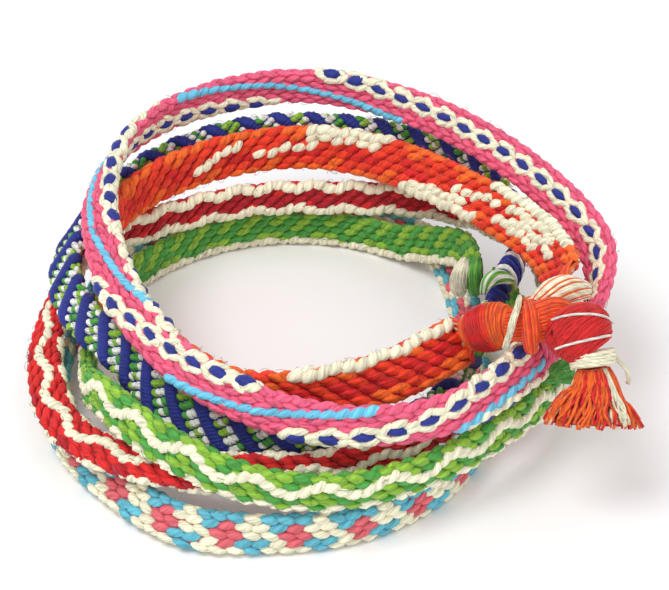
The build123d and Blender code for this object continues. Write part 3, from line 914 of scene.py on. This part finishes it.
backYarns = {
    "half": 2.7, "middle": (27.0, -18.0, 23.4), "end": (26.3, -20.9, 23.2), "endSpan": (3.2, 0.4, 0.6),
    "spread": 0.25, "count": 130, "thread": 0.21,
    "colours": ["orange", "scarlet", "orange", "red", "scarlet", "cream"],
}
orangeLine = bandLine["orange"]
cloth = drawnIn(orangeLine.points[0], orangeLine.across[0], orangeLine.face[0], **backYarns)
cloth.piece("back_yarns", "orange", "orange_yarn", [])

frontYarns = {
    "half": 3.0, "middle": (17.2, -18.9, 16.0), "end": (18.8, -20.6, 18.2), "endSpan": (0.8, 0.6, 1.6),
    "spread": 0.3, "count": 90, "thread": 0.20,
    "colours": ["orange", "scarlet", "orange", "red", "scarlet", "cream"],
}
cloth = drawnIn(orangeLine.points[-1], orangeLine.across[-1], orangeLine.face[-1], **frontYarns)
cloth.piece("front_yarns", "orange", "orange_yarn", [])

# strands that run on from the left lobe over the middle one into the barrel
saddlePoints = [
    (22.0, -22.3, 20.6, 1.9, 1.3), (23.6, -23.6, 21.6, 2.1, 1.5), (26.0, -23.6, 22.3, 2.5, 1.7),
    (27.8, -23.2, 22.3, 2.6, 1.5), (29.4, -23.8, 21.6, 1.4, 0.7),
]
saddle = {"strands": 60, "thread": 0.16, "colours": ["orange", "scarlet", "orange", "red"], "twist": 0.1}
cloth = gathered(saddlePoints, **saddle)
cloth.piece("saddle_yarns", "orange", "orange_yarn", [])

bindingPoints = [
    (30.9, -27.35, 20.5, 2.75, 2.5), (31.05, -27.8, 19.8, 2.7, 2.45), (31.15, -28.2, 19.2, 2.6, 2.4),
]
binding = {"turns": 4, "thread": 0.27, "colours": [(1, "cream")]}
cloth = wound(bindingPoints, **binding)
cloth.piece("cream_binding", "orange", "cream_yarn", ["binding", "binding_neck"])

looseThread = {"strands": 5, "thread": 0.12, "colours": ["cream"], "twist": 0.9}
loopStart = [(32.4, -26.9, 20.4), (33.6, -27.4, 20.0)]
loopHalf = 0.24
cloth = gathered([(*p, loopHalf, loopHalf) for p in [*loopStart, *looseEnd]], **looseThread)
cloth.piece("loose_thread", "orange", "cream_yarn", ["binding_loose_end"])

# the roots start inside the binding's ring, clear of its yarn
tasselRoots = [(31.18, -28.42, 18.92, 1.75, 1.45), (31.3, -29.0, 17.9, 2.45, 1.95)]
tasselForm = {
    "strands": 330,
    "filling": 0.9,
    "shortest": 0.84,
    "longest": 1.07,
    "thinnest": 0.13,
    "thickest": 0.19,
    "orangeShare": 0.72,
    "creamShare": 0.05,
    "creamSide": (2.05, 2.55),
    "creamSideShare": 0.7,
}


def tasselStrands(facts):
    path = [*tasselRoots, *tassel[1:]]
    line = Line(path, view=True)
    size = sizes(line, path)
    cloth = Cloth()
    # the crimson filling, darker than the orange and red strands: painted shade among them
    filling(cloth, line, size, "crimson", facts["filling"])
    t = np.linspace(0, 1, 10)
    least, most = facts["creamSide"]
    for k in range(facts["strands"]):
        turn = rng.uniform(0, 2 * math.pi)
        sink = rng.uniform(0, 0.5) ** 1.3
        s = t * line.length * rng.uniform(facts["shortest"], facts["longest"])
        across, deep = size(np.clip(s, 0, line.length))
        wave = 0.10 * np.sin(t * rng.uniform(4, 9) + rng.uniform(0, 6))
        flick = 1 + rng.normal(0, 0.06) * t ** 2
        places = line.place(
            s, across * flick * (1 - sink) * np.cos(turn + wave),
            deep * flick * (1 - sink) * np.sin(turn + wave))
        yarnName = "orange" if rng.random() < facts["orangeShare"] else "red"
        stray = rng.random() < facts["creamShare"]
        if stray or (least < turn < most and rng.random() < facts["creamSideShare"]):
            yarnName = "cream"
        cloth.tube(places, rng.uniform(facts["thinnest"], facts["thickest"]), yarnName, sides=5)
    return cloth


print("tassel")
tasselStrands(tasselForm).piece("tassel_strands", "tassel", "orange_yarn", ["tassel"])

print("floor and light")


def floorMaterial():
    material = bpy.data.materials.new("floor")
    material.use_nodes = True
    shader = material.node_tree.nodes["Principled BSDF"]
    shader.inputs["Base Color"].default_value = look["floorColour"]
    shader.inputs["Roughness"].default_value = 0.9
    shader.inputs["Specular IOR Level"].default_value = 0.1
    return material


floorMesh = bpy.data.meshes.new("floor")
reach = 3.0
level = -0.0001
corners = [(-reach, -reach, level), (reach, -reach, level), (reach, reach, level), (-reach, reach, level)]
floorMesh.from_pydata(corners, [], [(0, 1, 2, 3)])
floorMesh.materials.append(floorMaterial())
floorObject = bpy.data.objects.new("floor", floorMesh)
bpy.context.collection.objects.link(floorObject)


lamps = {
    "key": {"place": (-0.16, -0.12, 0.42), "size": 0.22, "energy": 0.85},
    "fill": {"place": (0.34, -0.30, 0.30), "size": 0.40, "energy": 0.22},
}


def areaLight(name, place, size, energy):
    lamp = bpy.data.lights.new(name, "AREA")
    lamp.shape = "DISK"
    lamp.size = size
    lamp.energy = energy
    holder = bpy.data.objects.new(name, lamp)
    bpy.context.collection.objects.link(holder)
    holder.location = place
    toward = aim - np.array(place)
    flat = math.hypot(toward[0], toward[1])
    holder.rotation_euler = (math.atan2(flat, -toward[2]), 0, math.atan2(-toward[0], toward[1]))


for name, facts in lamps.items():
    areaLight(name, **facts)

world = bpy.data.worlds.new("studio")
bpy.context.scene.world = world
world.use_nodes = True
tree = world.node_tree
background = tree.nodes["Background"]
background.inputs["Color"].default_value = (1, 1, 1, 1)
rays = tree.nodes.new("ShaderNodeLightPath")
seen = tree.nodes.new("ShaderNodeMath")
seen.operation = "MAXIMUM"
tree.links.new(rays.outputs["Is Camera Ray"], seen.inputs[0])
tree.links.new(rays.outputs["Is Transmission Ray"], seen.inputs[1])
strength = tree.nodes.new("ShaderNodeMix")
strength.inputs["A"].default_value = look["worldStrength"]
strength.inputs["B"].default_value = 1.0
tree.links.new(seen.outputs[0], strength.inputs["Factor"])
tree.links.new(strength.outputs["Result"], background.inputs["Strength"])

bpy.context.scene.view_settings.view_transform = "Standard"
